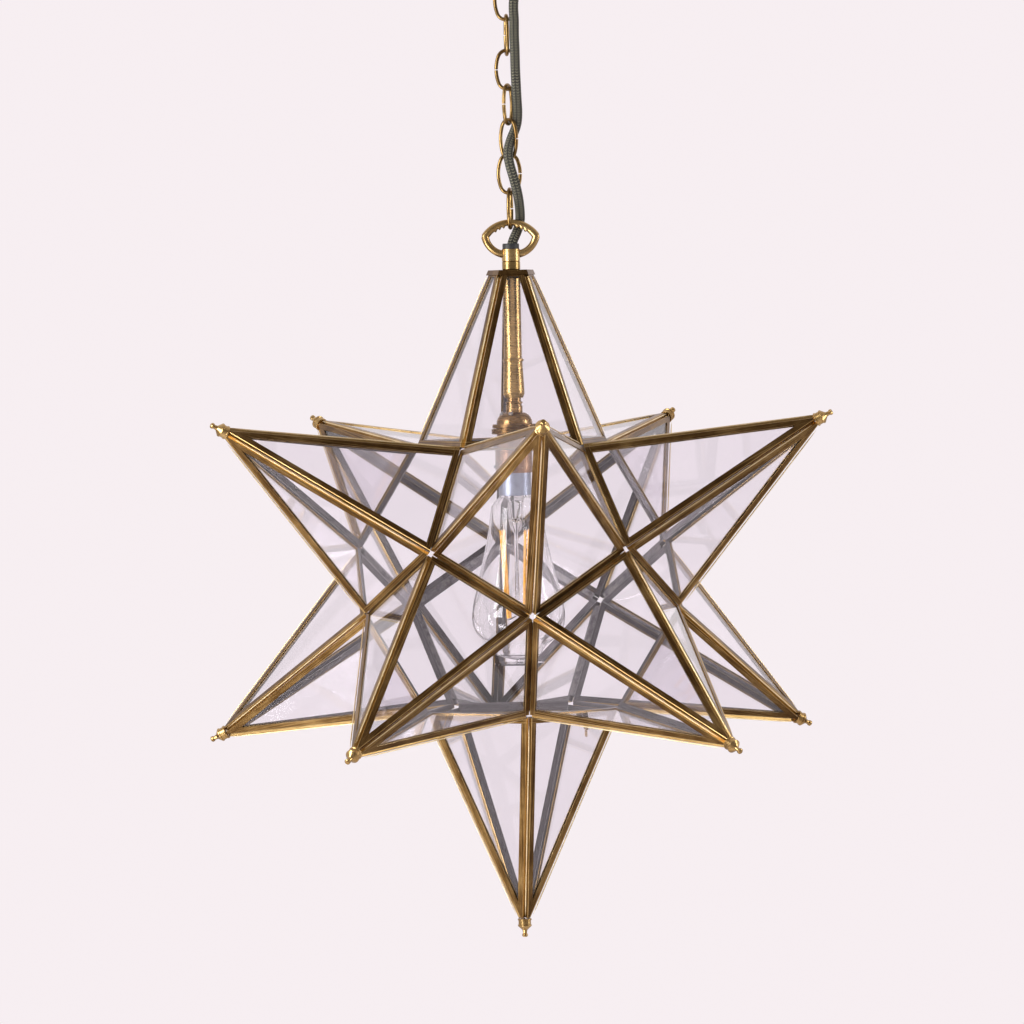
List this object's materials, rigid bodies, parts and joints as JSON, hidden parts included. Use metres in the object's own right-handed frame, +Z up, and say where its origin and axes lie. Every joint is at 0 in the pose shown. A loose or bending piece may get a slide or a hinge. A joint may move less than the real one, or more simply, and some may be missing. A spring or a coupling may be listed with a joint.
{
  "type": "moravian star pendant light",
  "caption": "Glazed brass star lantern of pentagonal points round a hollow core, with a hinged door point and a lampholder inside, on a stem, loop and chain from a ceiling rose.",
  "frame": {"origin": "centre of the ceiling plate's upper face, where it meets the ceiling", "axes": "+Z upwards into the ceiling, -Y towards the front, +X to the right"},
  "size_m": [0.4198, 0.441, 0.7274],
  "materials": {
    "patina_brass": "aged, brushed",
    "dark_brass": "dark antique patina",
    "steel": "plated",
    "pane_glass": "clear, polished",
    "lamp_glass": "clear, blown",
    "solder": "tarnished tin solder",
    "black_rubber": "matt",
    "cord_cotton": "braided",
    "phenolic": "moulded",
    "ceramic_white": "glazed",
    "lamp_cap_metal": "bright",
    "filament": "phosphor coated",
    "core_wire": "insulation"
  },
  "bodies": {
    "ceiling": {"ceiling_rose": "patina_brass", "ceiling_plate": "steel", "ceiling_hook": "dark_brass", "rose_nuts": "steel", "rose_ferrule": "patina_brass", "rose_cord_bush": "phenolic", "terminal_block": "ceramic_white", "terminal_screws": "steel", "rose_tails": "core_wire", "flex_cord": "cord_cotton"},
    "link_1": {"chain_link_1": "dark_brass"},
    "link_2": {"chain_link_2": "dark_brass"},
    "link_3": {"chain_link_3": "dark_brass"},
    "link_4": {"chain_link_4": "dark_brass"},
    "link_5": {"chain_link_5": "dark_brass"},
    "link_6": {"chain_link_6": "dark_brass"},
    "link_7": {"chain_link_7": "dark_brass"},
    "star": {"hanging_loop": "dark_brass", "cord_grommet": "black_rubber", "stem_collar": "dark_brass", "stem_flex": "cord_cotton", "crown_cap": "patina_brass", "stem_tube": "dark_brass", "stem_sleeve": "dark_brass", "holder_dome": "dark_brass", "holder_screws": "steel", "shade_rings": "dark_brass", "holder_skirt": "dark_brass", "holder_insulator": "phenolic", "frame_top": "patina_brass", "glass_top": "pane_glass", "glass_upper": "pane_glass", "glass_lower": "pane_glass", "star_finials": "patina_brass", "star_knuckles": "patina_brass", "valley_solder": "solder", "hinge_pin": "steel", "frame_upper_1": "patina_brass", "frame_lower_1": "patina_brass", "frame_upper_2": "patina_brass", "frame_lower_2": "patina_brass", "frame_upper_3": "patina_brass", "frame_lower_3": "patina_brass", "frame_upper_4": "patina_brass", "frame_lower_4": "patina_brass", "frame_upper_5": "patina_brass", "frame_lower_5": "patina_brass", "plunger_springs": "steel"},
    "door": {"frame_door": "patina_brass", "glass_door": "pane_glass", "door_finial": "patina_brass", "door_knuckles": "patina_brass", "door_catch": "patina_brass"},
    "lamp": {"bulb_glass": "lamp_glass", "lamp_cap": "lamp_cap_metal", "lamp_insulator": "phenolic", "lamp_mount": "lamp_glass", "lamp_filaments": "filament", "lamp_wires": "lamp_cap_metal"},
    "plungers": {"contact_plungers": "patina_brass"}
  },
  "joints": [
    {"name": "link_1_swing", "type": "hinge", "parent": "ceiling", "child": "link_1", "pos_m": [0, 0, -0.07845], "axis": [0, 1, 0], "range_deg": [-10, 10], "deforming": ["flex_cord"]},
    {"name": "link_2_swing", "type": "hinge", "parent": "link_1", "child": "link_2", "pos_m": [0, 0, -0.1013], "axis": [1, 0, 0], "range_deg": [-10, 10], "deforming": ["flex_cord"]},
    {"name": "link_3_swing", "type": "hinge", "parent": "link_2", "child": "link_3", "pos_m": [0, 0, -0.1249], "axis": [0, 1, 0], "range_deg": [-10, 10], "deforming": ["flex_cord"]},
    {"name": "link_4_swing", "type": "hinge", "parent": "link_3", "child": "link_4", "pos_m": [0, 0, -0.1485], "axis": [1, 0, 0], "range_deg": [-10, 10], "deforming": ["flex_cord"]},
    {"name": "link_5_swing", "type": "hinge", "parent": "link_4", "child": "link_5", "pos_m": [0, 0, -0.1721], "axis": [0.4384, 0.8988, 0], "range_deg": [-10, 10], "deforming": ["flex_cord"]},
    {"name": "link_6_swing", "type": "hinge", "parent": "link_5", "child": "link_6", "pos_m": [0, 0, -0.1957], "axis": [-0.6561, 0.7547, 0], "range_deg": [-10, 10], "deforming": ["flex_cord"]},
    {"name": "link_7_swing", "type": "hinge", "parent": "link_6", "child": "link_7", "pos_m": [0, 0, -0.2193], "axis": [1, 0, 0], "range_deg": [-10, 10], "deforming": ["flex_cord"]},
    {"name": "star_swing", "type": "hinge", "parent": "link_7", "child": "star", "pos_m": [0, 0, -0.2429], "axis": [0.225, 0.9744, 0], "range_deg": [-10, 10], "deforming": ["flex_cord"]},
    {"name": "door_hinge", "type": "hinge", "parent": "star", "child": "door", "pos_m": [-0.05468, 0.01777, -0.57459], "axis": [0.309, 0.9511, 0], "range_deg": [0, 90]},
    {"name": "bulb_slide", "type": "slide", "parent": "star", "child": "lamp", "axis": [0, 0, -1], "range_m": [0, 0.03]},
    {"name": "plunger_slide", "type": "slide", "parent": "star", "child": "plungers", "axis": [0, 0, -1], "range_m": [0, 0.0024], "deforming": ["plunger_springs"]}
  ],
  "couplings": [
    {"joint": "plunger_slide", "follows": "bulb_slide", "ratio": 0.075}
  ]
}
